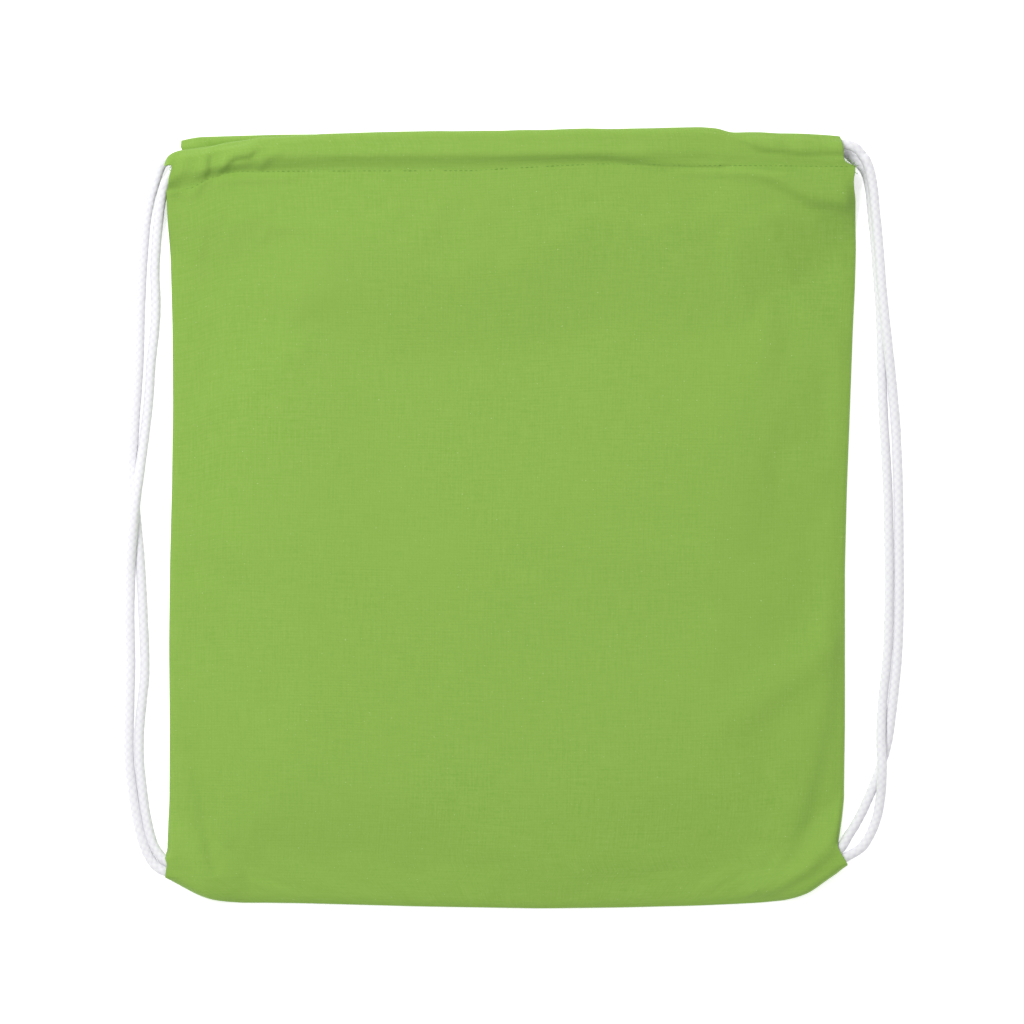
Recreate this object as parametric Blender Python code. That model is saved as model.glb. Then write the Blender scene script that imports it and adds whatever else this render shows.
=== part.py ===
"""A flat cotton drawstring backpack, laid on its back: two cloth panels sewn on three sides, each with
a hem tunnel along the mouth, and two braided cords that run through both tunnels and are sewn into the
bottom corners, so that they close the mouth and serve as shoulder straps.

Metres. +Y points to the mouth, +Z up from the back panel, the origin is under the middle of the bag."""

import math

import bmesh
import bpy
import numpy as np
from mathutils import Vector

# The bag, laid flat
BAG_WIDTH = 0.381
BAG_LENGTH = 0.4314
CLOTH = 0.0006
GAP = 0.0003
PUFF = 0.012  # underside of the front panel above the ground, over the middle
SKIRT = 0.026  # how far in from a seam the front panel reaches that height
CORNER_CUT = 0.040  # how much of the bottom edge the slanted corners take
LEFT_CORNER_RISE = 0.0165
RIGHT_CORNER_RISE = 0.0245
CORNER_BULGE = 0.040  # how far from where the cords go in the cloth of a corner is raised over them
BULGE_SLOPE = 0.014

# The hem tunnels and the mouth between them
CORD = 0.0052
CORD_CLEARANCE = 0.0005
CORNER_CLEARANCE = 0.0012  # above the cord ends in a corner
RUN_GAP = 0.0008  # between the two cord runs that share a tunnel
FOLD_ROOM = 0.0006  # between the upper run and the fold
LOWER_RUN_DROP = 0.0014  # how much deeper the lower run lies in the back tunnel
HEM_CLOSING = 0.0032  # depth over which a tunnel closes down to its lap
HEM_LAP = 0.003  # flat lap that the hem is stitched through
MOUTH_GAP = 0.0085  # between the two casings at the middle of the mouth
SIDE_SLIT = 0.036  # unsewn length of each side seam below the casing
BIGHT_ROOM = 0.009  # how far the turned-in layer stops short of the casing's right end
LEFT_BIGHT_ROOM = 0.0205  # the same at the left, from the full width
BIGHT_SLACK = 0.0025  # how far out of the tunnels each cord's tight turn starts
BIGHT_SLANT = 2.0  # above 1, the turn leaves the front run's depth late
LEFT_RUN_START = 0.0205  # where each cord's straight run starts, from the full width
RIGHT_RUN_START = 0.0160
END_TAPER = 0.004  # length below the hem over which an edge draws in to the casing's end
SLIT_TAPER = 0.0144  # length below the slit over which the front panel's left edge draws back

# Stitching
SEAM_IN = 0.003
SEAM_WIDTH = 0.006
SEAM_THICKNESS = 0.0008
THREAD = 0.0006
CORD_END = 0.019  # length of each cord end that is sewn into a corner
ZIGZAG_POINTS = 7
ZIGZAG_REACH = 2.2  # width of the stitches that hold the cord ends, in cord diameters
ZIGZAG_RISE = 0.7
HEM_POINTS = 24
SEAM_STEPS = 12
SEAM_FROM_BOTTOM = 0.050  # where the side seams' overlock starts
SEAM_FROM_SLIT = 0.008
SEAM_FROM_CORNER = 0.010

GREEN = (0.275, 0.485, 0.088)
THREAD_GREEN = (0.215, 0.40, 0.07)
WHITE = (0.86, 0.86, 0.89)

HALF_WIDTH = BAG_WIDTH / 2
HALF_LENGTH = BAG_LENGTH / 2
TUNNEL = CORD + 2 * CORD_CLEARANCE
FOLD = TUNNEL / 2
BACK_CASING_TOP = CLOTH + TUNNEL + CLOTH
UPPER_RUN = CLOTH + FOLD + FOLD_ROOM  # below the top edge, to the axis of the cord run next to the fold
FRONT_LOWER_RUN = UPPER_RUN + CORD + RUN_GAP
BACK_LOWER_RUN = FRONT_LOWER_RUN + LOWER_RUN_DROP
CASING_FLAT = BACK_LOWER_RUN + CORD / 2 + CORD_CLEARANCE  # depth of the tunnel's full-height stretch
CASING_DEPTH = CASING_FLAT + HEM_CLOSING + HEM_LAP
BACK_AXIS = CLOTH + FOLD  # height of a cord's axis in the back tunnel
CORNER_ROOM = CORD + CORNER_CLEARANCE
RIM = CLOTH + GAP

# Where the cords go into the bottom corners: height above the bottom edge, direction of the line
# across both cords, direction in which they run into the bag
LEFT_CORNER_WAY = (0.0225, (0.0, 1.0), (0.96, -0.28))
RIGHT_CORNER_WAY = (0.0297, (-0.48, 0.88), (-0.87, -0.49))

# How finely things are divided
EDGE_COLUMNS = (0.0, 0.008, 0.016, SKIRT)
MIDDLE_COLUMNS = 12
BOTTOM_ROWS = (0.0, 0.004, 0.009, LEFT_CORNER_RISE, RIGHT_CORNER_RISE, 0.033)
MIDDLE_ROWS = 10
SLIT_ROWS = (1.0, 0.75, 0.5, 0.25, 0.0)
FOLD_STEPS = 6
RUN_POINTS = 11
BIGHT_STEPS = 6
CURVE_STEPS = 24
STRAP_SPACING = 3 * CORD
RUN_SPACING = 7 * CORD
TURN_SPACING = 0.7 * CORD
TURN_INSET = 0.019  # nearer the full width than this, the cords turn
LYING = 0.52  # height of a lying cord's axis above what it lies on, in cord diameters

# Side edges: (place along the bag from -1 at the bottom to 1 at the mouth, inset from the full width)
LEFT_SIDE = ((-0.93, 0.0), (-0.3, 0.0016), (0.2, 0.0036), (0.76, 0.0005), (1.0, 0.0005))
RIGHT_SIDE = (
    (-0.89, 0.0050),
    (-0.84, 0.0094),
    (-0.64, 0.0062),
    (0.0, 0.0047),
    (0.4, 0.0025),
    (0.82, 0.0),
    (1.0, 0.0),
)
# Top edges: (place across the bag from -1 to 1, dip below the highest point)
FRONT_TOP = ((-1.0, 0.0175), (-0.95, 0.0115), (-0.74, 0.0055), (-0.5, 0.0025), (0.55, 0.0), (0.96, 0.005))
BACK_TOP = ((-0.96, 0.0067), (-0.9, 0.0045), (-0.5, 0.0030), (0.55, 0.0), (0.96, 0.005))
BOTTOM = ((-0.8, 0.0035), (0.0, 0.0), (0.5, 0.0015), (0.8, 0.0060))

# Casing ends: insets from the full width at the fold and at the hem line
FRONT_LEFT_END = (0.0005, 0.0058)
FRONT_RIGHT_END = (0.0075, 0.0050)
BACK_LEFT_END = (0.0080, 0.0030)
BACK_RIGHT_END = (0.0075, 0.0050)
SLIT_RECESS = 0.0058  # how far the front panel's left edge draws back to let its strand past

# Each strand of a strap, from the bottom corner up: share of the way to the casing, distance out from
# the line between its two exits, height of its axis above where it would lie, in cord diameters.
LEFT_FRONT_STRAND = (
    (0.000, 0.0056, 0.10),
    (0.013, 0.0098, 0.02),
    (0.039, 0.0139, 0.0),
    (0.073, 0.0170, 0.0),
    (0.112, 0.0194, 0.0),
    (0.156, 0.0212, 0.0),
    (0.232, 0.0209, 0.0),
    (0.288, 0.0203, 0.0),
    (0.351, 0.0209, 0.0),
    (0.404, 0.0205, 0.10),
    (0.457, 0.0195, 0.78),
    (0.514, 0.0174, 1.08),
    (0.545, 0.0159, 0.98),
    (0.577, 0.0144, 0.50),
    (0.623, 0.0122, 0.05),
    (0.662, 0.0106, 0.0),
    (0.716, 0.0092, 0.0),
    (0.762, 0.0073, 0.0),
    (0.797, 0.0066, 0.0),
    (0.847, 0.0072, 0.05),
    (0.915, 0.0052, 0.40),
    (0.942, 0.0037, 0.75),
    (0.960, 0.0022, 1.10),
)
LEFT_BACK_STRAND = (
    (0.025, 0.0062, 0.04),
    (0.042, 0.0090, 0.0),
    (0.073, 0.0117, 0.0),
    (0.112, 0.0139, 0.0),
    (0.156, 0.0155, 0.0),
    (0.192, 0.0154, 0.0),
    (0.232, 0.0141, 0.0),
    (0.277, 0.0125, 0.0),
    (0.351, 0.0134, 0.0),
    (0.404, 0.0144, 0.0),
    (0.457, 0.0159, 0.0),
    (0.514, 0.0180, 0.0),
    (0.577, 0.0193, 0.0),
    (0.623, 0.0184, 0.0),
    (0.716, 0.0160, 0.0),
    (0.797, 0.0151, 0.0),
    (0.875, 0.0135, 0.0),
    (0.925, 0.0116, 0.0),
    (0.971, 0.0072, 0.05),
)
RIGHT_FRONT_STRAND = (
    (0.026, 0.0039, 0.04),
    (0.048, 0.0092, 0.0),
    (0.081, 0.0153, 0.0),
    (0.122, 0.0216, 0.0),
    (0.161, 0.0257, 0.0),
    (0.212, 0.0284, 0.0),
    (0.279, 0.0310, 0.0),
    (0.351, 0.0320, 0.0),
    (0.438, 0.0319, 0.0),
    (0.510, 0.0316, 0.0),
    (0.556, 0.0310, 0.0),
    (0.613, 0.0298, 0.05),
    (0.670, 0.0276, 0.40),
    (0.717, 0.0255, 0.92),
    (0.756, 0.0237, 1.05),
    (0.811, 0.0217, 1.06),
    (0.866, 0.0200, 1.06),
    (0.907, 0.0184, 1.10),
    (0.938, 0.0172, 1.18),
    (0.963, 0.0152, 1.32),
    (0.980, 0.0125, 1.48),
)
RIGHT_BACK_STRAND = (
    (0.008, 0.0106, 0.08),
    (0.023, 0.0150, 0.10),
    (0.050, 0.0194, 0.15),
    (0.081, 0.0216, 0.45),
    (0.122, 0.0222, 1.08),
    (0.161, 0.0216, 0.72),
    (0.212, 0.0227, 0.05),
    (0.279, 0.0254, 0.0),
    (0.351, 0.0264, 0.0),
    (0.438, 0.0263, 0.0),
    (0.510, 0.0256, 0.0),
    (0.556, 0.0247, 0.0),
    (0.613, 0.0233, 0.0),
    (0.670, 0.0224, 0.0),
    (0.756, 0.0217, 0.0),
    (0.811, 0.0202, 0.0),
    (0.866, 0.0185, 0.0),
    (0.907, 0.0169, 0.0),
    (0.932, 0.0161, 0.0),
    (0.949, 0.0149, 0.02),
    (0.966, 0.0122, 0.12),
)
# Each strand's way out of its tunnel, from the strap in: inset from the full width, how far it has
# turned down from its line in the tunnel, share of its height there.
LEFT_FRONT_EXIT = ((-0.0004, 0.0090, 0.84), (0.0028, 0.0050, 0.92), (0.0084, 0.0015, 0.98))
LEFT_BACK_EXIT = ((-0.0018, 0.0028, 0.95), (0.0035, 0.0012, 1.0), (0.0095, 0.0004, 1.0))
RIGHT_FRONT_EXIT = ((-0.0047, 0.0077, 0.86), (-0.0003, 0.0026, 0.94), (0.0052, 0.0008, 0.98))
RIGHT_BACK_EXIT = ((0.0008, 0.0082, 0.92), (0.0050, 0.0046, 0.98), (0.0095, 0.0018, 1.0))

# Where each strap's own line meets the casing: inset from the full width, depth below the mouth.
LEFT_STRAP_TOP = (0.0005, 0.0187)
RIGHT_STRAP_TOP = (0.0075, 0.0087)


def at(table, place):
    """The value of a two-column table at a place, in straight steps between its rows."""
    return float(np.interp(place, [row[0] for row in table], [row[1] for row in table]))


def blend_in(value):
    value = min(max(value, 0.0), 1.0)
    return value * value * (3 - 2 * value)


def mix(low, high, share):
    return low + (high - low) * share


def corner_cut(y, rise):
    """How far a slanted bottom corner draws the side edge in at this height."""
    share = (y + HALF_LENGTH) / rise
    return CORNER_CUT * max(0.0, 1 - share)


def left_edge(y):
    return -HALF_WIDTH + at(LEFT_SIDE, y / HALF_LENGTH) + corner_cut(y, LEFT_CORNER_RISE)


def right_edge(y):
    return HALF_WIDTH - at(RIGHT_SIDE, y / HALF_LENGTH) - corner_cut(y, RIGHT_CORNER_RISE)


def bottom_edge(x):
    return -HALF_LENGTH + at(BOTTOM, x / HALF_WIDTH)


def front_top(x):
    return HALF_LENGTH - at(FRONT_TOP, x / HALF_WIDTH)


def back_top(x):
    return HALF_LENGTH - at(BACK_TOP, x / HALF_WIDTH)


def front_tunnel_top(x):
    """Height of the front tunnel's upper inner face: the mouth is widest in the middle."""
    opening = MOUTH_GAP * max(0.0, 1 - (x / (HALF_WIDTH - BIGHT_ROOM)) ** 2)
    return BACK_CASING_TOP + GAP + opening + CLOTH + TUNNEL


class Corner:
    """A slanted bottom corner that two cord ends are sewn into: its middle, the way in, and the two
    places, front strand's first, where the strands go in."""

    def __init__(self, edge, way, front_is_upper):
        above_bottom, opening, inward = way
        y = -HALF_LENGTH + above_bottom
        self.middle = Vector((edge(y), y, BACK_AXIS))
        self.inward = Vector((*inward, 0.0)).normalized()
        opening = Vector((*opening, 0.0)).normalized()
        apart = (CORD + GAP) / self.inward.cross(opening).length / 2
        upper = self.middle + opening * apart
        lower = self.middle - opening * apart
        self.entries = (upper, lower) if front_is_upper else (lower, upper)
        self.across = self.inward.cross(Vector((0.0, 0.0, 1.0)))

    def end_behind(self, entry):
        """Where the cord that goes in at this entry is cut off and sewn."""
        sideways = (entry - self.middle).dot(self.across)
        return self.middle + self.inward * CORD_END + self.across * sideways


LEFT_CORNER = Corner(left_edge, LEFT_CORNER_WAY, front_is_upper=False)
RIGHT_CORNER = Corner(right_edge, RIGHT_CORNER_WAY, front_is_upper=True)


def panel_height(x, y):
    """Height of the front panel's underside: low at the seams, raised over the cord ends and the mouth."""
    inward = min(x - left_edge(y), right_edge(y) - x, y - bottom_edge(x))
    share = min(max(inward / SKIRT, 0.0), 1.0)
    height = mix(RIM, PUFF, math.sin(share * math.pi / 2))
    for corner in (LEFT_CORNER, RIGHT_CORNER):
        reach = math.hypot(x - corner.middle.x, y - corner.middle.y)
        height = max(height, RIM + CORNER_ROOM * blend_in((CORNER_BULGE - reach) / BULGE_SLOPE))
    hem = front_top(x) - CASING_DEPTH
    return mix(height, front_tunnel_top(x), blend_in((y - hem + SIDE_SLIT) / SIDE_SLIT))


def casing_section():
    """The folded hem in section, from the hem line over the fold and back to the lap's raw edge: depth
    below the top edge, and drop below the tunnel's upper face as a share of the tunnel's height."""
    section = [(CASING_FLAT, 0.0)]
    for step in range(FOLD_STEPS + 1):
        turn = step * math.pi / FOLD_STEPS
        section.append((CLOTH + FOLD - FOLD * math.sin(turn), (1 - math.cos(turn)) / 2))
    lap = 1 - (TUNNEL - GAP) / TUNNEL
    section.append((CASING_FLAT, 1.0))
    section.append((CASING_DEPTH - HEM_LAP, lap))
    section.append((CASING_DEPTH, lap))
    return section


def shared_columns():
    """Places across the cloth from 0 to 1, closer together towards the two side seams."""
    near = [inward / BAG_WIDTH for inward in EDGE_COLUMNS]
    middle = list(np.linspace(near[-1], 1 - near[-1], MIDDLE_COLUMNS))[1:-1]
    return near + middle + [1 - place for place in reversed(near)]


def panel_rows():
    """Places up the panel from 0 at the bottom edge to 1 at the hem line."""
    tall = BAG_LENGTH - CASING_DEPTH
    high = [tall - SIDE_SLIT * share for share in SLIT_ROWS]
    middle = list(np.linspace(BOTTOM_ROWS[-1], high[0], MIDDLE_ROWS))[1:-1]
    return [height / tall for height in [*BOTTOM_ROWS, *middle, *high]]


def own_material(piece, name, colour, roughness):
    finish = bpy.data.materials.new(name)
    finish.use_nodes = True
    surface = finish.node_tree.nodes["Principled BSDF"]
    surface.inputs["Base Color"].default_value = (*colour, 1.0)
    surface.inputs["Roughness"].default_value = roughness
    surface.inputs["Metallic"].default_value = 0.0
    piece.data.materials.append(finish)


def cloth_piece(name, columns, rows, place, thickness, outward_up):
    """A sheet on a grid, each point put in place by place(column, row), thickened away from its hollow."""
    sheet = bmesh.new()
    bmesh.ops.create_grid(sheet, x_segments=columns - 1, y_segments=rows - 1, size=1.0)
    for point in sheet.verts:
        column = round((point.co.x + 1) / 2 * (columns - 1))
        row = round((point.co.y + 1) / 2 * (rows - 1))
        point.co = place(column, row)
    if not outward_up:
        bmesh.ops.reverse_faces(sheet, faces=sheet.faces)
    mesh = bpy.data.meshes.new(name)
    sheet.to_mesh(mesh)
    sheet.free()
    mesh.shade_smooth()
    piece = bpy.data.objects.new(name, mesh)
    bpy.context.scene.collection.objects.link(piece)
    cloth = piece.modifiers.new("cloth", "SOLIDIFY")
    cloth.thickness = thickness
    cloth.offset = 1.0
    cloth.use_even_offset = True
    return piece


def hemmed_panel(name, top, upper_face, height, ends, edges, is_front):
    """One panel of cloth with its hem folded into a tunnel. upper_face(x) is the tunnel's face on the
    side of the panel's own cloth; the fold turns from it towards the inside of the bag."""
    columns = shared_columns()
    rows = panel_rows()
    section = casing_section()
    (left_at_fold, left_at_hem), (right_at_fold, right_at_hem) = ends
    way = -1 if is_front else 1

    def place(column, row):
        share = columns[column]
        if row < len(rows):
            straight = mix(-HALF_LENGTH, HALF_LENGTH - CASING_DEPTH, rows[row])
            left, right = edges(straight)
            x = mix(left, right, share)
            hem = top(x) - CASING_DEPTH
            y = mix(bottom_edge(x), hem, rows[row])
            return Vector((x, y, height(x, y)))
        depth, drop = section[row - len(rows)]
        turned_in = row - len(rows) > 2
        upward = 1 - min(depth / CASING_DEPTH, 1.0)
        left = -HALF_WIDTH + mix(left_at_hem, left_at_fold, upward)
        right = HALF_WIDTH - mix(right_at_hem, right_at_fold, upward)
        if turned_in:
            left = -HALF_WIDTH + LEFT_BIGHT_ROOM
            right = HALF_WIDTH - FRONT_RIGHT_END[0] - BIGHT_ROOM
        x = mix(left, right, share)
        return Vector((x, top(x) - depth, upper_face(x) + way * drop * TUNNEL))

    return cloth_piece(
        name, len(columns), len(rows) + len(section), place, CLOTH, outward_up=is_front
    )


def front_edges(y):
    hem = HALF_LENGTH - CASING_DEPTH
    near_slit = blend_in((y - hem + SIDE_SLIT) / SLIT_TAPER)
    at_hem = blend_in((y - hem + END_TAPER) / END_TAPER)
    left = left_edge(y) + (SLIT_RECESS - LEFT_SIDE[-1][1]) * near_slit
    return left, right_edge(y) - FRONT_RIGHT_END[1] * at_hem


def back_edges(y):
    hem = HALF_LENGTH - CASING_DEPTH
    at_hem = blend_in((y - hem + END_TAPER) / END_TAPER)
    return left_edge(y) + BACK_LEFT_END[1] * at_hem, right_edge(y) - BACK_RIGHT_END[1] * at_hem


def round_line(name, points, diameter, sides):
    """A closed round tube that follows the points."""
    curve = bpy.data.curves.new(name, "CURVE")
    curve.dimensions = "3D"
    curve.bevel_depth = diameter / 2
    curve.bevel_resolution = sides
    curve.use_fill_caps = True
    spline = curve.splines.new("POLY")
    spline.points.add(len(points) - 1)
    for target, point in zip(spline.points, points):
        target.co = (*point, 1.0)
    piece = bpy.data.objects.new(name, curve)
    bpy.context.scene.collection.objects.link(piece)
    return piece


def smooth_line(points):
    """Many points on a smooth curve through the given ones."""
    points = [2 * points[0] - points[1], *points, 2 * points[-1] - points[-2]]
    line = []
    for before, start, end, after in zip(points, points[1:], points[2:], points[3:]):
        knots = [0.0]
        for one, other in ((before, start), (start, end), (end, after)):
            knots.append(knots[-1] + max((other - one).length, 1e-6) ** 0.5)
        t0, t1, t2, t3 = knots
        for t in np.linspace(t1, t2, CURVE_STEPS, endpoint=False):
            a = before.lerp(start, (t - t0) / (t1 - t0))
            b = start.lerp(end, (t - t1) / (t2 - t1))
            c = end.lerp(after, (t - t2) / (t3 - t2))
            d = a.lerp(b, (t - t0) / (t2 - t0))
            e = b.lerp(c, (t - t1) / (t3 - t1))
            line.append(d.lerp(e, (t - t1) / (t2 - t1)))
    return line + [points[-2]]


def spaced(line, spacing_at):
    """Points of a line, as far apart as spacing_at(point) asks."""
    kept = [line[0]]
    travelled = 0.0
    for one, other in zip(line, line[1:]):
        travelled += (other - one).length
        if travelled >= spacing_at(other):
            kept.append(other)
            travelled = 0.0
    if (kept[-1] - line[-1]).length < CORD / 2:
        kept.pop()
    return kept + [line[-1]]


def front_axis(x):
    return front_tunnel_top(x) - FOLD


def back_axis(x):
    return BACK_AXIS


def strap_strand(table, bottom, top, side):
    """A strand's free stretch, on the ground beside the bag."""
    points = []
    for share, out, lift in table:
        start = bottom.lerp(top, share)
        points.append(Vector((start.x + side * out, start.y, CORD * (LYING + lift))))
    return points


def tunnel_run(top, axis_height, depth, side, near, far):
    """A cord's axis in a tunnel, from its own side of the bag to the far one."""
    places = np.linspace(side * near, -side * far, RUN_POINTS)
    return [Vector((x, top(x) - depth, axis_height(x))) for x in places]


def tunnel_exit(table, run, axis_height, side):
    """The strand's turn out of the tunnel, from the strap to the start of the run."""
    points = []
    for inset, turned_down, share in table:
        x = side * (HALF_WIDTH - inset)
        points.append(Vector((x, run[0].y - turned_down, axis_height(x) * share)))
    return points


def bight(front_end, back_end, side):
    """The tight turn at the far end, from the front tunnel down into the back one."""
    reach = (front_end - back_end).length / 2
    points = []
    for step in range(1, BIGHT_STEPS):
        turn = step * math.pi / BIGHT_STEPS
        down = (1 - math.cos(turn)) / 2
        x = front_end.x - side * reach * math.sin(turn)
        y = mix(front_end.y, back_end.y, down**BIGHT_SLANT)
        points.append(Vector((x, y, mix(front_end.z, back_end.z, down))))
    return points


def cord_spacing(point):
    """Close together on the turns, wide apart in the straight tunnels."""
    inset = HALF_WIDTH - abs(point.x)
    if point.y < HALF_LENGTH - 2 * CASING_DEPTH:
        return STRAP_SPACING
    if inset > TURN_INSET:
        return RUN_SPACING
    return TURN_SPACING


def cord_piece(name, side, corner, strap_top, strands, exits, depths, near, far):
    """One cord, sewn in at both ends: up the side, through the front tunnel and back through the other."""
    front_run = tunnel_run(front_top, front_axis, depths[0], side, near, far)
    back_run = tunnel_run(back_top, back_axis, depths[1], side, near, far)
    inset, down = strap_top
    line_top = Vector((side * (HALF_WIDTH - inset), HALF_LENGTH - down, 0.0))
    ends = [corner.end_behind(entry) for entry in corner.entries]
    up = [ends[0], corner.entries[0]]
    up += strap_strand(strands[0], corner.middle, line_top, side)
    up += tunnel_exit(exits[0], front_run, front_axis, side) + front_run
    down = [ends[1], corner.entries[1]]
    down += strap_strand(strands[1], corner.middle, line_top, side)
    down += tunnel_exit(exits[1], back_run, back_axis, side) + back_run
    route = up + bight(front_run[-1], back_run[-1], side) + down[::-1]
    piece = round_line(name, spaced(smooth_line(route), cord_spacing), CORD, 2)
    own_material(piece, name + "_braid", WHITE, 0.85)
    return piece


def stitch_line(name, places, top, depth, height):
    """A row of stitching along a hem, as one thread."""
    points = [Vector((x, top(x) - depth, height(x))) for x in places]
    piece = round_line(name, points, THREAD, 1)
    own_material(piece, name + "_thread", THREAD_GREEN, 0.7)
    return piece


def seam_strip(name, outer, inner):
    """The overlocked seam allowance inside a seam, between two lines given from 0 to 1."""

    def place(column, row):
        x, y = (outer, inner)[row](column / SEAM_STEPS)
        return Vector((x, y, RIM))

    piece = cloth_piece(name, SEAM_STEPS + 1, 2, place, SEAM_THICKNESS, outward_up=True)
    own_material(piece, name + "_thread", THREAD_GREEN, 0.8)
    return piece


def corner_stitches(name, corner):
    """The zigzag of thread that holds the two cord ends in a corner."""
    middle = corner.middle + corner.inward * (CORD_END + 2 * THREAD)
    low = RIM + 2 * THREAD
    points = []
    for step in range(ZIGZAG_POINTS):
        place = middle + corner.across * CORD * ZIGZAG_REACH * (step / (ZIGZAG_POINTS - 1) - 0.5)
        place.z = low if step % 2 else low + ZIGZAG_RISE * CORD
        points.append(place)
    piece = round_line(name, points, 2 * THREAD, 1)
    own_material(piece, name + "_thread", THREAD_GREEN, 0.7)
    return piece


for leftover in list(bpy.data.objects):
    bpy.data.objects.remove(leftover, do_unlink=True)

front_panel = hemmed_panel(
    "front_panel",
    front_top,
    front_tunnel_top,
    panel_height,
    (FRONT_LEFT_END, FRONT_RIGHT_END),
    front_edges,
    is_front=True,
)
own_material(front_panel, "front_cotton", GREEN, 0.9)

back_panel = hemmed_panel(
    "back_panel",
    back_top,
    lambda x: CLOTH,
    lambda x, y: CLOTH,
    (BACK_LEFT_END, BACK_RIGHT_END),
    back_edges,
    is_front=False,
)
own_material(back_panel, "back_cotton", GREEN, 0.9)

turned_in_left = -HALF_WIDTH + LEFT_BIGHT_ROOM
turned_in_right = HALF_WIDTH - FRONT_RIGHT_END[0] - BIGHT_ROOM
front_hem_left = -HALF_WIDTH + FRONT_LEFT_END[1] + SEAM_IN
front_hem_right = HALF_WIDTH - FRONT_RIGHT_END[1] - SEAM_IN
stitch_line(
    "front_hem_stitching",
    np.linspace(front_hem_left, front_hem_right, HEM_POINTS),
    front_top,
    CASING_DEPTH - HEM_LAP / 4,
    lambda x: front_tunnel_top(x) + CLOTH + GAP + THREAD / 2,
)
stitch_line(
    "back_hem_stitching",
    np.linspace(turned_in_left + SEAM_IN, turned_in_right - SEAM_IN, HEM_POINTS),
    back_top,
    CASING_DEPTH - HEM_LAP / 2,
    lambda x: RIM + CLOTH + GAP + THREAD / 2,
)

seam_low = -HALF_LENGTH + SEAM_FROM_BOTTOM
seam_high = HALF_LENGTH - CASING_DEPTH - SIDE_SLIT - SEAM_FROM_SLIT
seam_end = HALF_WIDTH - CORNER_CUT - SEAM_FROM_CORNER


def side_line(edge, inset):
    def line(share):
        y = mix(seam_low, seam_high, share)
        return edge(y) + inset, y

    return line


def bottom_line(inset):
    def line(share):
        x = mix(-seam_end, seam_end, share)
        return x, bottom_edge(x) + inset

    return line


seam_far = SEAM_IN + SEAM_WIDTH
seam_strip("left_seam_overlock", side_line(left_edge, seam_far), side_line(left_edge, SEAM_IN))
seam_strip("right_seam_overlock", side_line(right_edge, -SEAM_IN), side_line(right_edge, -seam_far))
seam_strip("bottom_seam_overlock", bottom_line(SEAM_IN), bottom_line(seam_far))
corner_stitches("left_corner_stitches", LEFT_CORNER)
corner_stitches("right_corner_stitches", RIGHT_CORNER)

cord_piece(
    "left_cord",
    -1,
    LEFT_CORNER,
    LEFT_STRAP_TOP,
    (LEFT_FRONT_STRAND, LEFT_BACK_STRAND),
    (LEFT_FRONT_EXIT, LEFT_BACK_EXIT),
    (FRONT_LOWER_RUN, BACK_LOWER_RUN),
    HALF_WIDTH - LEFT_RUN_START,
    turned_in_right + BIGHT_SLACK,
)
cord_piece(
    "right_cord",
    1,
    RIGHT_CORNER,
    RIGHT_STRAP_TOP,
    (RIGHT_FRONT_STRAND, RIGHT_BACK_STRAND),
    (RIGHT_FRONT_EXIT, RIGHT_BACK_EXIT),
    (UPPER_RUN, UPPER_RUN),
    HALF_WIDTH - RIGHT_RUN_START,
    -turned_in_left + BIGHT_SLACK,
)
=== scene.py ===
"""A flat drawstring backpack of lime green cotton, lying on its back, with two white braided cords."""

import math

import bmesh
import bpy
import numpy as np
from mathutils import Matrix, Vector, noise


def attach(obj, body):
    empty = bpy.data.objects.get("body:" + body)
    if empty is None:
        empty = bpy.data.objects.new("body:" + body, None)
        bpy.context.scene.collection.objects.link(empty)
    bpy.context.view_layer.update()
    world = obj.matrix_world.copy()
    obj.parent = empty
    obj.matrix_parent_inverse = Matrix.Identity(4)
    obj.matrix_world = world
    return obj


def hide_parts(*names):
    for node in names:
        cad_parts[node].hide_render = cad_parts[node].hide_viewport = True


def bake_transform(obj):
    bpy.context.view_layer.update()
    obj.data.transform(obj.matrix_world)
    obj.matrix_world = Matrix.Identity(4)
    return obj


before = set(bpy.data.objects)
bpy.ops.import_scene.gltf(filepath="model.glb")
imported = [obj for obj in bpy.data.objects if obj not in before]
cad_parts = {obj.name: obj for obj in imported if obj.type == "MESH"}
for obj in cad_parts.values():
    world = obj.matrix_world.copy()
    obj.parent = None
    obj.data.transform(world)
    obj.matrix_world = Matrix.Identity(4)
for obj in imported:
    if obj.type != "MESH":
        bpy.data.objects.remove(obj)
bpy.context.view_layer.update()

# Camera: a long lens straight above the bag, so that the sides of the folds barely show.
view_width = 0.566
view_height = 0.010  # height of the plane whose width fills the frame
camera = bpy.data.objects.new("camera", bpy.data.cameras.new("camera"))
bpy.context.scene.collection.objects.link(camera)
camera.data.lens = 200
camera.data.sensor_width = 36
camera.data.clip_end = 20
camera.location = (0.0006, 0.0033, view_height + view_width * camera.data.lens / camera.data.sensor_width)
bpy.context.scene.camera = camera


# Drawstring cords: two 5 mm cotton cords, round braided from eight white plaits. Both ends of each cord
# are sewn into one bottom corner. Its two strands run up beside the bag, through the hem tunnels of the
# front and the back panel, and the cord turns back in the far end of the casing.
half_width = 0.1905
half_length = 0.2157
cloth = 0.0006
gap = 0.0003  # between pieces that touch
cord = 0.0052
cord_clearance = 0.0005
tunnel = cord + 2 * cord_clearance  # height inside each hem tunnel
fold = tunnel / 2  # radius inside the fold at a casing's edge
back_casing_top = cloth + tunnel + cloth
mouth_gap = 0.0085
bight_room = 0.009  # of casing without its turned-in layer, where the left cord turns back at the right
left_bight_room = 0.0205  # the same at the left for the right cord
right_end = 0.0075  # inset of the casing's right end
bight_slack = 0.0025  # by which a cord passes the turned-in layer before it turns back
bight_slant = 2.0  # how late in its turn a cord changes its depth in the casing
upper_run = cloth + fold + 0.0006  # depth of the upper cord's middle below the casing's edge
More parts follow.
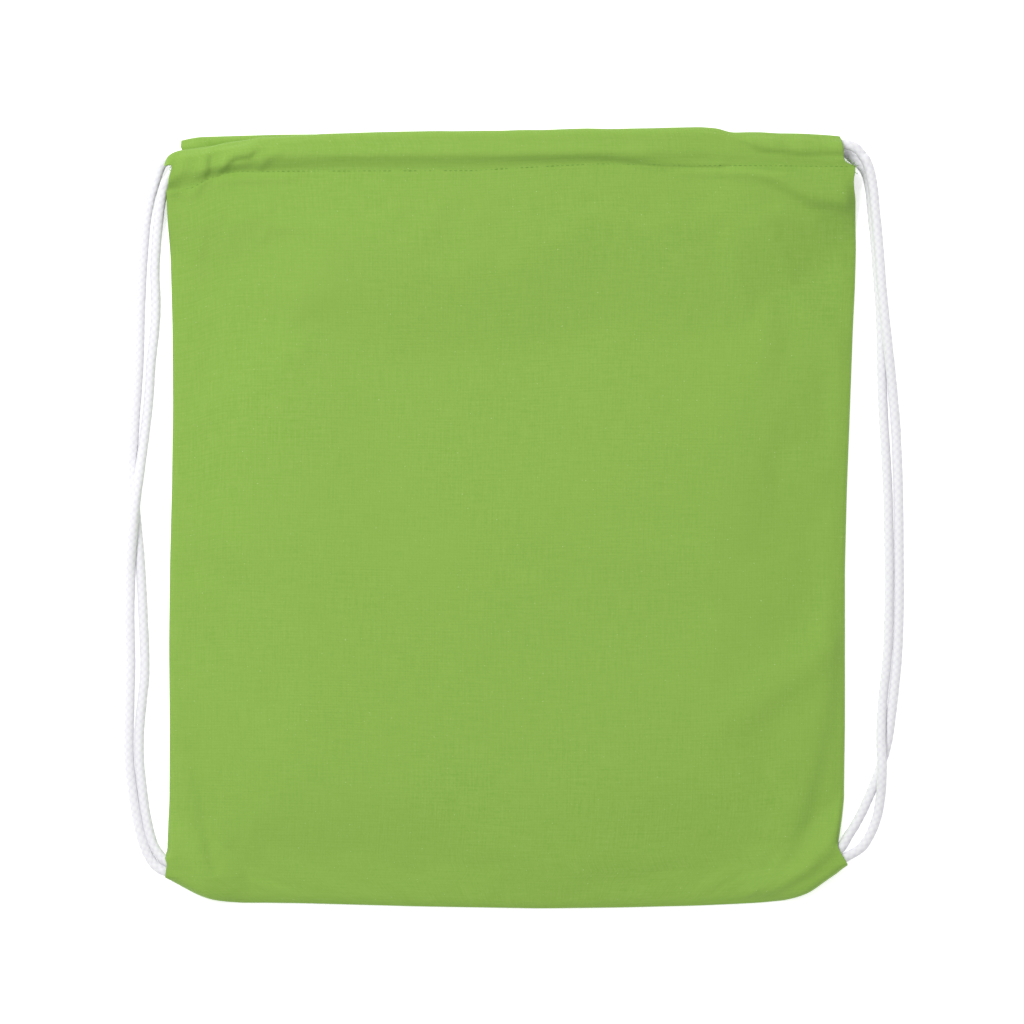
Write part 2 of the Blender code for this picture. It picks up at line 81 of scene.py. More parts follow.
front_lower_run = upper_run + cord + 0.0008
back_lower_run = front_lower_run + 0.0014
back_axis = cloth + fold
edge_slack = 0.0002  # most by which the line that these depths start from lies past the casing's own edge
sewn_length = 0.019  # of each cord end, inside the bag

FRONT_TOP = ((-1.0, 0.0175), (-0.95, 0.0115), (-0.74, 0.0055), (-0.5, 0.0025), (0.55, 0.0), (0.96, 0.005))
BACK_TOP = ((-0.96, 0.0067), (-0.9, 0.0045), (-0.5, 0.0030), (0.55, 0.0), (0.96, 0.005))
# Upper edges of the two casings as they lie: place across the bag, height. The cords keep below them.
FRONT_EDGE = (
    (-0.1905, 0.1972), (-0.1890, 0.2005), (-0.1853, 0.2026), (-0.1814, 0.2035), (-0.1692, 0.2043),
    (-0.1637, 0.2058), (-0.1554, 0.2076), (-0.1399, 0.2098), (-0.110, 0.2116), (-0.0835, 0.2126),
    (-0.0503, 0.2133), (-0.020, 0.2134), (0.016, 0.2140), (0.038, 0.2147), (0.0603, 0.2146),
    (0.090, 0.2154), (0.1045, 0.2157), (0.1130, 0.2152), (0.1175, 0.2140), (0.1205, 0.2128),
    (0.1300, 0.2131), (0.1488, 0.2125), (0.162, 0.2124), (0.1797, 0.2112), (0.1905, 0.2105),
)
BACK_EDGE = (
    (-0.1835, 0.2088), (-0.1790, 0.2099), (-0.1725, 0.2111), (-0.1499, 0.2118), (-0.1283, 0.2124),
    (-0.080, 0.2128), (0.0, 0.2136), (0.060, 0.2142), (0.105, 0.2148), (0.118, 0.2132), (0.135, 0.2126),
    (0.162, 0.2124), (0.1814, 0.2112), (0.1905, 0.2106),
)


def at(table, place):
    """The value of a two-column table at a place, in straight steps between its rows."""
    return float(np.interp(place, [row[0] for row in table], [row[1] for row in table]))


def ease(value):
    """A smooth step from 0 to 1."""
    value = min(max(value, 0.0), 1.0)
    return value * value * (3 - 2 * value)


def mix(low, high, share):
    return low + (high - low) * share


def front_top(x):
    return half_length - at(FRONT_TOP, x / half_width)


def back_top(x):
    return half_length - at(BACK_TOP, x / half_width)


def front_tunnel_top(x):
    """Height of the front tunnel's upper inner face: the mouth gapes a little in the middle."""
    opening = mouth_gap * max(0.0, 1 - (x / (half_width - bight_room)) ** 2)
    return back_casing_top + gap + opening + cloth + tunnel


def front_axis(x):
    return front_tunnel_top(x) - fold


# Each free strand, from its corner up: share of the way to the casing, distance out from the straight
# line between, height above where it would lie in cord diameters.
LEFT_FRONT_STRAND = (
    (0.000, 0.0056, 0.10), (0.013, 0.0098, 0.02), (0.039, 0.0139, 0.0), (0.073, 0.0170, 0.0),
    (0.112, 0.0194, 0.0), (0.156, 0.0212, 0.0), (0.232, 0.0209, 0.0), (0.288, 0.0203, 0.0),
    (0.351, 0.0209, 0.0), (0.404, 0.0205, 0.10), (0.457, 0.0195, 0.78), (0.514, 0.0174, 1.08),
    (0.545, 0.0159, 0.98), (0.577, 0.0144, 0.50), (0.623, 0.0122, 0.05), (0.662, 0.0106, 0.0),
    (0.716, 0.0092, 0.0), (0.762, 0.0073, 0.0), (0.797, 0.0066, 0.0), (0.847, 0.0072, 0.05),
    (0.915, 0.0052, 0.40), (0.942, 0.0037, 0.75), (0.960, 0.0022, 1.10),
)
LEFT_BACK_STRAND = (
    (0.025, 0.0062, 0.04), (0.042, 0.0090, 0.0), (0.073, 0.0117, 0.0), (0.112, 0.0139, 0.0),
    (0.156, 0.0155, 0.0), (0.192, 0.0154, 0.0), (0.232, 0.0141, 0.0), (0.277, 0.0125, 0.0),
    (0.351, 0.0134, 0.0), (0.404, 0.0144, 0.0), (0.457, 0.0159, 0.0), (0.514, 0.0180, 0.0),
    (0.577, 0.0193, 0.0), (0.623, 0.0184, 0.0), (0.716, 0.0160, 0.0), (0.797, 0.0151, 0.0),
    (0.875, 0.0135, 0.0), (0.925, 0.0116, 0.0), (0.971, 0.0072, 0.05),
)
RIGHT_FRONT_STRAND = (
    (0.026, 0.0039, 0.04), (0.048, 0.0092, 0.0), (0.081, 0.0153, 0.0), (0.122, 0.0216, 0.0),
    (0.161, 0.0257, 0.0), (0.212, 0.0284, 0.0), (0.279, 0.0310, 0.0), (0.351, 0.0320, 0.0),
    (0.438, 0.0319, 0.0), (0.510, 0.0316, 0.0), (0.556, 0.0310, 0.0), (0.613, 0.0298, 0.05),
    (0.670, 0.0276, 0.40), (0.717, 0.0255, 0.92), (0.756, 0.0237, 1.05), (0.811, 0.0217, 1.06),
    (0.866, 0.0200, 1.06), (0.907, 0.0184, 1.10), (0.938, 0.0172, 1.18), (0.963, 0.0152, 1.32),
    (0.980, 0.0125, 1.48),
)
RIGHT_BACK_STRAND = (
    (0.008, 0.0106, 0.08), (0.023, 0.0150, 0.10), (0.050, 0.0194, 0.15), (0.081, 0.0216, 0.45),
    (0.122, 0.0222, 1.08), (0.161, 0.0216, 0.72), (0.212, 0.0227, 0.05), (0.279, 0.0254, 0.0),
    (0.351, 0.0264, 0.0), (0.438, 0.0263, 0.0), (0.510, 0.0256, 0.0), (0.556, 0.0247, 0.0),
    (0.613, 0.0233, 0.0), (0.670, 0.0224, 0.0), (0.756, 0.0217, 0.0), (0.811, 0.0202, 0.0),
    (0.866, 0.0185, 0.0), (0.907, 0.0169, 0.0), (0.932, 0.0161, 0.0), (0.949, 0.0149, 0.02),
    (0.966, 0.0122, 0.12),
)
# Each strand's turn out of its tunnel: inset from the full width, how far it has turned down, share of
# its height in the tunnel.
LEFT_FRONT_EXIT = ((-0.0004, 0.0090, 0.84), (0.0028, 0.0050, 0.92), (0.0084, 0.0015, 0.98))
LEFT_BACK_EXIT = ((-0.0018, 0.0028, 0.95), (0.0035, 0.0012, 1.0), (0.0095, 0.0004, 1.0))
RIGHT_FRONT_EXIT = ((-0.0047, 0.0077, 0.86), (-0.0003, 0.0026, 0.94), (0.0052, 0.0008, 0.98))
RIGHT_BACK_EXIT = ((0.0008, 0.0082, 0.92), (0.0050, 0.0046, 0.98), (0.0095, 0.0018, 1.0))

left_corner = Vector((-0.1905, -0.1932, back_axis))
right_corner = Vector((0.1831, -0.1860, back_axis))


def corner_entries(middle, opening, inward):
    """The two places where a cord's ends go in between the panels, and where they are cut off and sewn."""
    inward = Vector((*inward, 0.0)).normalized()
    opening = Vector((*opening, 0.0)).normalized()
    across = inward.cross(Vector((0.0, 0.0, 1.0)))
    apart = (cord + gap) / inward.cross(opening).length / 2
    entries = [middle + opening * apart, middle - opening * apart]
    ends = [middle + inward * sewn_length + across * (entry - middle).dot(across) for entry in entries]
    return list(zip(ends, entries))


def cord_route(side, sewn_in, strap_line, strands, exits, depths, near, far):
    """Points along one cord: out of the corner, up, through the front tunnel, back through the other."""
    route = []
    runs = []
    casings = ((front_top, FRONT_EDGE, front_axis), (back_top, BACK_EDGE, lambda x: back_axis))
    for place, (top, edge, axis) in enumerate(casings):
        run = []
        for x in np.linspace(side * near, -side * far, 23):
            upper = min(top(x), at(edge, x) + edge_slack)
            run.append(Vector((x, upper - depths[place], axis(x))))
        low, high = strap_line
        strand = list(sewn_in[place])
        for share, out, lift in strands[place]:
            foot = low.lerp(high, share)
            strand.append(Vector((foot.x + side * out, foot.y, cord * (0.52 + lift))))
        for inset, turned_down, share in exits[place]:
            x = side * (half_width - inset)
            strand.append(Vector((x, run[0].y - turned_down, axis(x) * share)))
        runs.append(run)
        route.append(strand)
    front_end, back_end = runs[0][-1], runs[1][-1]
    reach = (front_end - back_end).length / 2
    turn_back = []
    for step in range(1, 6):
        turn = step * math.pi / 6
        down = (1 - math.cos(turn)) / 2
        x = front_end.x - side * reach * math.sin(turn)
        y = mix(front_end.y, back_end.y, down**bight_slant)
        turn_back.append(Vector((x, y, mix(front_end.z, back_end.z, down))))
    return route[0] + runs[0] + turn_back + (route[1] + runs[1])[::-1]


def smooth_line(points):
    """Many points on a smooth curve through the given ones."""
    points = [2 * points[0] - points[1], *points, 2 * points[-1] - points[-2]]
    line = []
    for before, start, end, after in zip(points, points[1:], points[2:], points[3:]):
        knots = [0.0]
        for one, other in ((before, start), (start, end), (end, after)):
            knots.append(knots[-1] + max((other - one).length, 1e-6) ** 0.5)
        t0, t1, t2, t3 = knots
        for t in np.linspace(t1, t2, 24, endpoint=False):
            a = before.lerp(start, (t - t0) / (t1 - t0))
            b = start.lerp(end, (t - t1) / (t2 - t1))
            c = end.lerp(after, (t - t2) / (t3 - t2))
            d = a.lerp(b, (t - t0) / (t2 - t0))
            e = b.lerp(c, (t - t1) / (t3 - t1))
            line.append(d.lerp(e, (t - t1) / (t2 - t1)))
    return line + [points[-2]]


plait_pitch = 0.0043
plaits_each_way = 4
cord_sides = 26
fine_step = 0.00046  # between rings where the cord shows
hidden_step = 0.0024
hidden_above = 0.188  # the cord is inside the casing above this line and within this width
hidden_within = half_width - 0.016
fullness = 0.00268  # radius of the cord where nothing presses it
plait_relief = 0.00010
lump_relief = 0.00012
lump_length = 0.0042
slip_relief = 0.00008
slip = 0.0013  # by which the plaits lie looser and tighter along the cord
slip_length = 0.011


def ring_centres(line):
    """Points along the line, close together outside the casing, and the distance along it to each."""
    points = np.array([tuple(point) for point in line])
    travelled = np.concatenate([[0.0], np.cumsum(np.linalg.norm(np.diff(points, axis=0), axis=1))])
    stops = [0.0]
    while stops[-1] < travelled[-1]:
        x, y = (np.interp(stops[-1], travelled, points[:, axis]) for axis in (0, 1))
        hidden = y > hidden_above and abs(x) < hidden_within
        stops.append(stops[-1] + (hidden_step if hidden else fine_step))
    stops = stops[:-2] + [travelled[-1]]
    centres = np.stack([np.interp(stops, travelled, points[:, axis]) for axis in range(3)], axis=1)
    return centres, np.array(stops)


def braid_height(turn, along):
    """Height of the braid's surface, about -1 to 1: eight round plaits that pass over and under."""
    one_way = turn * plaits_each_way + along / plait_pitch
    other_way = turn * plaits_each_way - along / plait_pitch
    first, second = np.round(one_way), np.round(other_way)
    crown = [1 - (2 * (way - near)) ** 2 for way, near in ((one_way, first), (other_way, second))]
    over = 0.6 * np.cos(np.pi * other_way) * np.cos(np.pi * first) + crown[0]
    under = -0.6 * np.cos(np.pi * one_way) * np.cos(np.pi * second) + crown[1]
    return np.maximum(over, under) - 0.75


def new_piece(name, shape):
    """Makes the finished shape into a smooth piece in the scene."""
    mesh = bpy.data.meshes.new(name)
    shape.to_mesh(mesh)
    shape.free()
    mesh.shade_smooth()
    piece = bpy.data.objects.new(name, mesh)
    bpy.context.scene.collection.objects.link(piece)
    return piece


def braided_cord(name, line):
    """The cord's mesh: a tube along the line, its surface raised and sunk by the plaits."""
    centres, along = ring_centres(line)
    tangents = np.gradient(centres, axis=0)
    tangents /= np.linalg.norm(tangents, axis=1)[:, None]
    outward = np.zeros_like(centres)
    side = np.array([0.0, 0.0, 1.0])
    for ring, tangent in enumerate(tangents):
        side = side - tangent * side.dot(tangent)
        side /= np.linalg.norm(side)
        outward[ring] = side
    binormal = np.cross(tangents, outward)
    turn = np.arange(cord_sides + 1) / cord_sides
    loose = np.array([noise.noise(Vector((0.0, stop / slip_length, len(name)))) for stop in along])
    height = braid_height(turn[None, :], (along + slip * loose)[:, None])
    angle = 2 * np.pi * turn
    spots = [(math.cos(a) * 1.1, math.sin(a) * 1.1) for a in angle]
    lumps = np.array([[noise.noise(Vector((*spot, stop / lump_length))) for spot in spots] for stop in along])
    radius = fullness + plait_relief * height + lump_relief * lumps + slip_relief * loose[:, None]
    ways = np.cos(angle)[:, None] * outward[:, None] + np.sin(angle)[:, None] * binormal[:, None]
    surface = centres[:, None] + radius[:, :, None] * ways
    tube = bmesh.new()
    bmesh.ops.create_grid(tube, x_segments=cord_sides, y_segments=len(along) - 1, size=1.0)
    uv = tube.loops.layers.uv.new("plaits")
    plait_height = tube.verts.layers.float.new("plait_height")
    grid = {}
    for point in tube.verts:
        column = round((point.co.x + 1) / 2 * cord_sides)
        ring = round((point.co.y + 1) / 2 * (len(along) - 1))
        grid[point] = (column, ring)
        point.co = surface[ring, column]
        point[plait_height] = height[ring, column]
    for face in tube.faces:
        for corner in face.loops:
            column, ring = grid[corner.vert]
            corner[uv].uv = (turn[column] * math.pi * cord * 1000, along[ring] * 1000)
    bmesh.ops.remove_doubles(tube, verts=tube.verts, dist=1e-6)
    bmesh.ops.holes_fill(tube, edges=[edge for edge in tube.edges if edge.is_boundary], sides=0)
    bmesh.ops.recalc_face_normals(tube, faces=tube.faces)
    return new_piece(name, tube), centres


def from_hex(colour):
    """An sRGB hex colour as the linear values that shaders take."""
    channels = [int(colour[place:place + 2], 16) / 255 for place in (1, 3, 5)]
    return (*[c / 12.92 if c <= 0.04045 else ((c + 0.055) / 1.055) ** 2.4 for c in channels], 1.0)


def add_node(material, kind, values, output=0, **properties):
    """Adds a shader node and returns one of its outputs. Values go to its sockets by name or place, and a
    socket among them is linked."""
    tree = material.node_tree
    node = tree.nodes.new("ShaderNode" + kind)
    for name, value in properties.items():
        setattr(node, name, value)
    for socket, value in values.items():
        if isinstance(value, bpy.types.NodeSocket):
            tree.links.new(value, node.inputs[socket])
        else:
            node.inputs[socket].default_value = value
    return node.outputs[output]


def new_material(name):
    material = bpy.data.materials.new(name)
    material.use_nodes = True
    return material, material.node_tree.nodes["Principled BSDF"]


# White bleached cotton, loosely spun: matt and bluish white, with painted grey lilac shade in the grooves
# between the plaits, and fine fibres along each plait. The fibres are 0.25 mm apart, drawn coarser than the
# real 0.02 mm.
braided_cotton, finish = new_material("braided_white_cotton")
raised = add_node(braided_cotton, "Attribute", {}, output="Fac", attribute_name="plait_height")
# Painted shade: the colour darkens to grey lilac where the plaits sink below each other.
painted_groove_shade = add_node(braided_cotton, "MapRange", {"Value": raised, "From Min": -0.75, "From Max": 0.7})
place = add_node(braided_cotton, "UVMap", {}, uv_map="plaits")
patches = add_node(braided_cotton, "TexNoise", {"Vector": place, "Scale": 0.35, "Detail": 2.0})
patch_tint = add_node(
    braided_cotton, "MixRGB", {"Fac": patches, 1: from_hex("#E8E8EB"), 2: from_hex("#EDEDEF")}
)
cord_tint_with_painted_shade = add_node(braided_cotton, "MixRGB", {"Fac": painted_groove_shade, 1: from_hex("#DAD9E0"), 2: patch_tint})
fibres = add_node(braided_cotton, "TexNoise", {"Vector": place, "Scale": 4.0, "Detail": 3.0})
fibre_bump = add_node(braided_cotton, "Bump", {"Height": fibres, "Strength": 0.35, "Distance": 0.0002})
braided_cotton.node_tree.links.new(cord_tint_with_painted_shade, finish.inputs["Base Color"])
braided_cotton.node_tree.links.new(fibre_bump, finish.inputs["Normal"])
finish.inputs["Roughness"].default_value = 0.9
finish.inputs["Specular IOR Level"].default_value = 0.25
finish.inputs["Sheen Weight"].default_value = 0.15
finish.inputs["Sheen Roughness"].default_value = 0.5

turned_in_left = -half_width + left_bight_room
turned_in_right = half_width - right_end - bight_room
left_sewn = corner_entries(left_corner, (0.0, 1.0), (0.96, -0.28))[::-1]
right_sewn = corner_entries(right_corner, (-0.48, 0.88), (-0.87, -0.49))
left_strap_line = (left_corner.copy(), Vector((-0.1900, 0.1970, 0.0)))
right_strap_line = (right_corner.copy(), Vector((0.1830, 0.2070, 0.0)))
left_strands = (LEFT_FRONT_STRAND, LEFT_BACK_STRAND)
right_strands = (RIGHT_FRONT_STRAND, RIGHT_BACK_STRAND)
left_exits = (LEFT_FRONT_EXIT, LEFT_BACK_EXIT)
right_exits = (RIGHT_FRONT_EXIT, RIGHT_BACK_EXIT)
left_runs = ((front_lower_run, back_lower_run), half_width - 0.0205, turned_in_right + bight_slack)
right_runs = ((upper_run, upper_run), half_width - 0.0160, -turned_in_left + bight_slack)
for side_name, side, sewn_in, strap_line, strands, exits, (depths, near, far) in (
    ("left", -1, left_sewn, left_strap_line, left_strands, left_exits, left_runs),
    ("right", 1, right_sewn, right_strap_line, right_strands, right_exits, right_runs),
):
    route = cord_route(side, sewn_in, strap_line, strands, exits, depths, near, far)
    piece, centres = braided_cord(side_name + "_braided_cord", smooth_line(route))
    piece.data.materials.append(braided_cotton)
    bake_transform(piece)
    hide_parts(side_name + "_cord")


# Front panel: one piece of dyed plain-weave cotton, about 150 g per square metre, sewn to the back panel
# along both sides and the bottom. Its upper edge is folded in and stitched down as a tunnel for the cords.
# It is a single sheet, shaped over the cords and then relaxed as cloth with its seams and tunnel pinned.
hem_depth = 0.021
stitch_depth = 0.0198
below_stitches = 0.0012
casing_end = 0.187  # where the height of the casing's ends is taken
panel_height = 0.4104
cord_depth = 0.0125  # depth of the lowest cord's underside below the fold
fall = 0.0042  # how far the tunnel's outer layer falls from the cords to the stitching
rim = cloth + gap
corner_room = cord + 0.0014
edge_roll = 0.0026  # height that the cloth gains just inside its seams
edge_roll_width = 0.0024
puff = 0.0050  # further height that it gains towards its middle
puff_width = 0.075
slack_rise = 0.0009  # of the slack cloth's slow waves
seam_dip = 0.00035  # groove beside the seam allowance on the right
gather_rise = 0.0018

# Side edges: height above the bottom edge along the panel, inset from the full width.
LEFT_EDGE = (
    (0.0, 0.0418), (0.0005, 0.0322), (0.0018, 0.0236), (0.0046, 0.0166), (0.0090, 0.0083),
    (0.0142, -0.0008), (0.0185, -0.0002), (0.0215, 0.0004), (0.0240, -0.0007), (0.0290, 0.0006),
    (0.0566, 0.0016), (0.1008, 0.0018), (0.1450, 0.0014), (0.1893, 0.0019), (0.2335, 0.0030),
    (0.2778, 0.0036), (0.3220, 0.0033), (0.3620, 0.0022), (0.3780, 0.0010), (0.3890, 0.0003),
    (0.3943, 0.0002), (0.4104, 0.0006),
)
RIGHT_EDGE = (
    (0.0, 0.0400), (0.0020, 0.0307), (0.0050, 0.0240), (0.0097, 0.0177), (0.0147, 0.0105),
    (0.0199, 0.0041), (0.0250, 0.0072), (0.0302, 0.0100), (0.0330, 0.0094), (0.0440, 0.0077),
    (0.0560, 0.0064), (0.0990, 0.0058), (0.1880, 0.0058), (0.2320, 0.0047), (0.2765, 0.0030),
    (0.3206, 0.0014), (0.3427, 0.0003), (0.3650, -0.0003), (0.3926, 0.0003), (0.3990, 0.0012),
    (0.4030, 0.0013), (0.4070, 0.0002), (0.4104, 0.0002),
)
# Bottom edge and hem stitching: place across the bag, height.
BOTTOM_EDGE = (
    (-0.150, -0.2127), (-0.1167, -0.2131), (-0.050, -0.2149), (0.016, -0.2160), (0.060, -0.2155),
    (0.1045, -0.2144), (0.1266, -0.2134), (0.1377, -0.2128), (0.150, -0.2115),
)
STITCH_LINE = (
    (-0.1905, 0.1806), (-0.183, 0.1812), (-0.176, 0.1825), (-0.168, 0.1868), (-0.159, 0.1902),
    (-0.150, 0.1913), (-0.0227, 0.1914), (0.0254, 0.1941), (0.0492, 0.1952), (0.099, 0.1945),
    (0.150, 0.1942), (0.1905, 0.1940),
)
# Casing ends: depth below the fold, inset from the full width.
FRONT_LEFT_END = (
    (0.0, 0.0016), (0.0010, 0.0002), (0.0022, -0.0004), (0.0042, -0.0002), (0.0052, 0.0010),
    (0.0064, 0.0030), (0.0082, 0.0034), (0.0107, 0.0026), (0.0132, 0.0018), (0.0176, 0.0012),
    (0.0205, 0.0003),
)
FRONT_RIGHT_END = (
    (0.0, 0.0092), (0.002, 0.0082), (0.005, 0.0075), (0.0118, 0.0070), (0.0138, 0.0060), (0.0148, 0.0050),
    (0.0156, 0.0006), (0.018, 0.0002),
)
# Folds that the cloth keeps: points along each, height in mm, width in mm of its flanks to the left and to
# the right of that way. A narrow flank is steep and a wide one gentle.
BODY_FOLDS = (
    (((-0.189, 0.1830), (-0.1765, 0.1810), (-0.170, 0.1868), (-0.158, 0.1892), (-0.120, 0.1903)),
     2.3, 8, 3.2),
    (((0.096, 0.1945), (0.118, 0.1938), (0.134, 0.1925), (0.148, 0.1870), (0.165, 0.1770),
      (0.190, 0.1735)),
     4.0, 12, 3.6),
    (((0.150, 0.168), (0.168, 0.160), (0.180, 0.146)),
     0.9, 6, 6),
    (((0.143, 0.154), (0.165, 0.1095), (0.184, 0.090)),
     0.8, 9, 6),
    (((-0.002, 0.004), (0.020, -0.010), (0.050, -0.023), (0.082, -0.020), (0.108, -0.032),
      (0.138, -0.048)),
     0.7, 12, 6),
    (((0.1266, -0.1120), (0.150, -0.094), (0.184, -0.066)),
     1.4, 14, 6),
    (((0.140, -0.200), (0.156, -0.172), (0.168, -0.135), (0.174, -0.100), (0.177, -0.070)),
     2.0, 15, 6),
    (((0.138, -0.2075), (0.1465, -0.2046), (0.1631, -0.1947), (0.1709, -0.1869), (0.1806, -0.1800)),
     2.4, 6, 3),
    (((-0.168, -0.200), (-0.177, -0.172), (-0.180, -0.140)),
     1.5, 6, 5),
    (((-0.05, -0.155), (-0.022, -0.182), (0.02, -0.189), (0.08, -0.189)),
     0.6, 12, 8),
    (((-0.150, 0.120), (-0.155, 0.060), (-0.150, -0.020)),
     0.7, 16, 12),
)
CASING_FOLDS = (
    (((-0.145, 0.1996), (-0.110, 0.2003), (-0.050, 0.2000), (0.0, 0.1998), (0.040, 0.2004),
      (0.072, 0.1990)),
     0.9, 5, 1.6),
    (((0.066, 0.1975), (0.080, 0.1960), (0.1156, 0.1948)),
     1.5, 4, 1.6),
    (((0.1330, 0.2060), (0.1377, 0.2046), (0.1432, 0.2041), (0.1598, 0.2024), (0.1819, 0.2029)),
     2.2, 5, 1.5),
    (((-0.1683, 0.1925), (-0.1681, 0.1975), (-0.1674, 0.2030)),
     2.6, 4.5, 1.8),
    (((-0.1580, 0.1940), (-0.1565, 0.1963), (-0.1526, 0.1996), (-0.1443, 0.2007)),
     2.4, 5, 1.5),
    (((-0.1800, 0.1930), (-0.1790, 0.1985), (-0.1765, 0.2010)),
     1.9, 4, 2.0),
    (((-0.137, 0.1950), (-0.134, 0.1990), (-0.128, 0.2010)),
     1.3, 4, 2),
)
CORNERS = (
    (left_corner, Vector((0.96, -0.28)), 0.0142, 0.0240, 0.30),
    (right_corner, Vector((-0.87, -0.49)), 0.0199, 0.0302, 0.48),
)


def along_line(x, y, points):
    """Distance from a place to a line, in metres: above 0 to the left of the line's way, else below it."""
    nearest = 1.0
    for (x0, y0), (x1, y1) in zip(points, points[1:]):
        dx, dy = x1 - x0, y1 - y0
        share = min(max(((x - x0) * dx + (y - y0) * dy) / (dx * dx + dy * dy), 0.0), 1.0)
        away = math.hypot(x - x0 - share * dx, y - y0 - share * dy)
        if away < abs(nearest):
            nearest = math.copysign(away, dx * (y - y0) - dy * (x - x0))
    return nearest


def folds_at(x, y, folds):
    """Height of the kept folds at a place, in metres."""
    height = 0.0
    for points, rise, left_width, right_width in folds:
        away = along_line(x, y, points) * 1000
        height += rise * math.exp(-((away / (left_width if away > 0 else right_width)) ** 2))
    return height / 1000


def corner_bulge(x, y, height, from_sides, from_bottom):
    """Height of the cloth's underside over the cord ends sewn into the two bottom corners. It is sewn shut
    on the back panel along the bottom and right beside the openings where the cords go in."""
    bulge = 0.0
    for (middle, way, low, high, slant), from_side in zip(CORNERS, from_sides):
        end = middle.xy + way * 0.021
        reach = abs(along_line(x, y, ((middle.x - way.x * 0.01, middle.y - way.y * 0.01), tuple(end))))
        over = corner_room * ease((0.040 - reach) / 0.033)
        opening = ease((height - low + 0.0012) / 0.0012) * ease((high + 0.0022 - height) / 0.0020)
        from_seam = min(from_side * (slant if height < low else 1.0), 0.4 * from_bottom)
        bulge = max(bulge, over * mix(1 - math.exp(-from_seam / 0.0006), 1.0, opening))
    return rim + bulge


def front_edge(x):
    return at(FRONT_EDGE, x) + 0.0004 * noise.noise(Vector((x / 0.012, 0.0, 0.0)))


def front_hem(x):
    return at(STITCH_LINE, x) - below_stitches


def back_hem(x):
    return at(BACK_EDGE, x) - hem_depth


def fallen(x, y):
    """How far the tunnel's outer layer has fallen, from over the lowest cord to the stitching. At the right
    end the cord lies close to the stitching and holds it up."""
    clear = front_top(x) - cord_depth
    room = max(clear - at(STITCH_LINE, x), 0.002)
    held_up = mix(1.0, 0.25, ease((x - 0.100) / 0.035))
    return min(fall, 1.1 * room) * held_up * ease((clear - y) / room)


def body_y(x, height, hem):
    """Height up the bag of a row of the sheet: the hem's own line shifts the upper rows."""
    low = at(BOTTOM_EDGE, x)
    return low + height + ease((height - 0.05) / (panel_height - 0.05)) * (hem(x) - low - panel_height)


def body_row(share, height, hem):
    """A place on the body of a panel: x, y, and how far in it lies from the left and the right edge."""
    edges = []
    for side, table in ((-1, LEFT_EDGE), (1, RIGHT_EDGE)):
        y = body_y(side * half_width, height, hem)
        inset = at(table, mix(height, y + half_length, ease((height - 0.03) / 0.1)))
        edges.append(side * (half_width - inset))
    x = mix(edges[0], edges[1], share)
    return x, body_y(x, height, hem), x - edges[0], edges[1] - x


def front_body(x, y, height_up, from_left, from_right):
    """Height of the front panel's underside between its seams and the hem."""
    from_bottom = y - at(BOTTOM_EDGE, x)
    inward = min(from_left, from_right, from_bottom)
    height = rim + edge_roll * (1 - math.exp(-inward / edge_roll_width))
    height += puff * ease(inward / puff_width)
    height += slack_rise * noise.noise(Vector((x / 0.070, y / 0.090, 2.0))) * ease(inward / 0.03)
    height = max(height, corner_bulge(x, y, height_up, (from_left, from_right), from_bottom))
    lift_length = mix(0.036, 0.105, max(0.0, 1 - (x / half_width) ** 4))
    hem = front_hem(x)
    lifted = front_tunnel_top(x) - fallen(x, hem)
    height = mix(height, lifted, ease((y - hem + lift_length) / lift_length))
    beside_seam = math.exp(-(((from_right - 0.004) / 0.0011) ** 2))
    height -= seam_dip * beside_seam * ease((from_bottom - 0.03) / 0.02)
    fade = ease((inward - 0.0005) / 0.005)
    return height + folds_at(x, y, BODY_FOLDS) * fade


def casing_gathers(x, y, depth):
    """Small gathers where the cords draw the casing up, strongest at its ends."""
    near_end = 0.30 + 0.70 * math.exp(-(((half_width - abs(x)) / 0.05) ** 2))
    across = noise.noise(Vector((x / 0.0075 + y / 0.02, depth / 0.030, 0.3)))
    gathered = max(gather_rise * near_end * (across + 0.45), -0.0001)
    return (gathered + folds_at(x, y, CASING_FOLDS)) * ease((depth - 0.001) / 0.004)


def spread(start, end, count):
    return list(np.linspace(start, end, count, endpoint=False))


# Where the sheet's grid lines lie: close together beside the seams, at the folds and in the hem.
side_steps = (0.0, 0.0009, 0.0022, 0.004, 0.0065, 0.010, 0.014)
full_width = 2 * half_width
across_steps = [*side_steps, *spread(0.0170, 0.062, 26), *spread(0.062, 0.300, 34)]
across_steps += spread(0.300, full_width - 0.014, 24)
across_steps += [full_width - step for step in reversed(side_steps)]
COLUMNS = [step / full_width for step in across_steps]
BODY_ROWS = [
    0.0, 0.0006, 0.0016, 0.003, 0.0046, 0.0066, 0.009, 0.0116, 0.0135, 0.0142, 0.0150, 0.0172, 0.0192,
    0.0199, 0.0207, 0.0226, 0.0240, 0.0262, 0.0290, 0.0302, 0.0316, 0.034,
]
BODY_ROWS += spread(0.037, 0.064, 7) + spread(0.064, 0.340, 42) + spread(0.340, 0.372, 9)
BODY_ROWS += spread(0.372, panel_height, 14)
UPPER_DEPTHS = (
    0.021, 0.0203, 0.0198, 0.0190, 0.0178, 0.0167, 0.0158, 0.0146, 0.0133, 0.0118, 0.0098, 0.0080, 0.0064,
    0.0050,
)
fold_steps = 8
fold_length = 0.008  # of cloth in the turn at the casing's edge


def casing_rows():
    """The folded hem in section: depth below the top edge, drop as a share of the tunnel's height, and
    whether the row is on the layer turned in."""
    rows = [(depth, 0.0, False) for depth in UPPER_DEPTHS]
    for step in range(fold_steps + 1):
        turn = step * math.pi / fold_steps
        drop = (1 - math.cos(turn)) / 2
        rows.append((cloth + fold - fold * math.sin(turn), drop, step > fold_steps / 2))
    rows += [(depth, 1.0, True) for depth in (0.0060, 0.0090, 0.0120, 0.0150, 0.0180, 0.0205)]
    return rows


